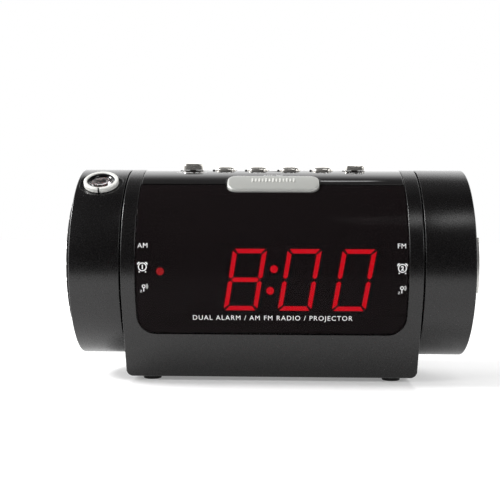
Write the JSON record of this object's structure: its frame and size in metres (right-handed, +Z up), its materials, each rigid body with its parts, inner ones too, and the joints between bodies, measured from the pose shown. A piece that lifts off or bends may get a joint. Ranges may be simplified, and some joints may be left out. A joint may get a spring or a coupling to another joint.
{
  "type": "projection clock radio",
  "caption": "Mains clock radio shaped as a lying barrel on a slanted base, with a smoked display window, top keys, a turning projector drum and a speaker end.",
  "frame": {"origin": "bottom centre of the bounding box, on the surface that the feet stand on", "axes": "+X along the barrel towards the speaker end, +Y to the back, +Z up; the display faces -Y"},
  "size_m": [0.205, 0.095, 0.1096],
  "materials": {
    "black_plastic": "satin black moulding",
    "smoked_window": "glossy smoked window",
    "silver_plastic": "satin silver paint",
    "chromed_plastic": "bright plated plastic",
    "steel": "plated steel",
    "rubber": "matt rubber",
    "board": "circuit board",
    "copper": "enamelled wire",
    "ferrite": "dark sintered",
    "pale_plastic": "natural plastic",
    "paper": "black paper cone",
    "clear": "clear moulded lens"
  },
  "bodies": {
    "cabinet": {"front_cabinet": "black_plastic", "rear_cabinet": "black_plastic", "top_panel": "black_plastic", "base_plate": "black_plastic", "right_drum": "black_plastic", "battery_box": "black_plastic", "display_module": "black_plastic", "front_window": "smoked_window", "speaker_grille": "silver_plastic", "base_screw_front_left": "steel", "base_screw_front_right": "steel", "base_screw_rear_left": "steel", "base_screw_rear_right": "steel", "drum_screw_1": "steel", "drum_screw_2": "steel", "drum_screw_3": "steel", "battery_contact_left": "steel", "battery_contact_right": "steel", "function_switch": "steel", "band_switch": "steel", "volume_pot": "steel", "speaker_basket": "steel", "foot_front_left": "rubber", "foot_front_right": "rubber", "foot_rear_left": "rubber", "foot_rear_right": "rubber", "cord_gland": "rubber", "main_board": "board", "display_board": "board", "switch_board": "board", "transformer_winding": "copper", "antenna_coil": "copper", "transformer_core": "ferrite", "ferrite_rod": "ferrite", "speaker_magnet": "ferrite", "tuning_capacitor": "pale_plastic", "rod_holder": "pale_plastic", "speaker_cone": "paper"},
    "projector": {"projector_drum": "black_plastic", "projector_cap": "silver_plastic", "projector_spindle": "pale_plastic", "spindle_clip": "steel", "lens_barrel": "black_plastic", "projector_board": "board", "projector_led": "clear", "projector_lcd": "clear"},
    "focus": {"focus_ring": "silver_plastic", "projector_lens": "clear"},
    "hour_key": {"hour_button": "chromed_plastic"},
    "minute_key": {"minute_button": "chromed_plastic"},
    "alarm_one_key": {"alarm_one_button": "chromed_plastic"},
    "alarm_two_key": {"alarm_two_button": "chromed_plastic"},
    "snooze_key": {"snooze_bar": "silver_plastic"},
    "function_knob": {"function_slider": "chromed_plastic"},
    "band_knob": {"band_slider": "chromed_plastic"},
    "volume": {"volume_wheel": "black_plastic"},
    "tuning": {"tuning_wheel": "black_plastic"},
    "door": {"battery_door": "black_plastic"}
  },
  "joints": [
    {"name": "projector_turn", "type": "hinge", "parent": "cabinet", "child": "projector", "pos_m": [-0.0847, 0, 0.0585], "axis": [1, 0, 0], "range_deg": [-120, 60]},
    {"name": "focus_turn", "type": "hinge", "parent": "projector", "child": "focus", "pos_m": [-0.0848, -0.02587, 0.09834], "axis": [0, -0.5446, 0.8387], "range_deg": [-60, 60]},
    {"name": "hour_press", "type": "slide", "parent": "cabinet", "child": "hour_key", "axis": [0, 0.1392, -0.9903], "range_m": [0, 0.001], "stiffness_N_per_m": 600},
    {"name": "minute_press", "type": "slide", "parent": "cabinet", "child": "minute_key", "axis": [0, 0.1392, -0.9903], "range_m": [0, 0.001], "stiffness_N_per_m": 600},
    {"name": "alarm_one_press", "type": "slide", "parent": "cabinet", "child": "alarm_one_key", "axis": [0, 0.1392, -0.9903], "range_m": [0, 0.001], "stiffness_N_per_m": 600},
    {"name": "alarm_two_press", "type": "slide", "parent": "cabinet", "child": "alarm_two_key", "axis": [0, 0.1392, -0.9903], "range_m": [0, 0.001], "stiffness_N_per_m": 600},
    {"name": "snooze_press", "type": "slide", "parent": "cabinet", "child": "snooze_key", "axis": [0, 0.5592, -0.829], "range_m": [0, 0.0012], "stiffness_N_per_m": 600},
    {"name": "function_slide", "type": "slide", "parent": "cabinet", "child": "function_knob", "axis": [1, 0, 0], "range_m": [-0.0022, 0.0022]},
    {"name": "band_slide", "type": "slide", "parent": "cabinet", "child": "band_knob", "axis": [1, 0, 0], "range_m": [-0.0022, 0.0022]},
    {"name": "volume_turn", "type": "hinge", "parent": "cabinet", "child": "volume", "pos_m": [0.04, 0.02635, 0.0315], "axis": [0, 0, 1], "range_deg": [0, 270]},
    {"name": "tuning_turn", "type": "hinge", "parent": "cabinet", "child": "tuning", "pos_m": [-0.04, 0.02635, 0.0315], "axis": [0, 0, 1], "range_deg": [-150, 150]},
    {"name": "battery_door_slide", "type": "slide", "parent": "cabinet", "child": "door", "axis": [0, 1, 0], "range_m": [0, 0.03]}
  ]
}
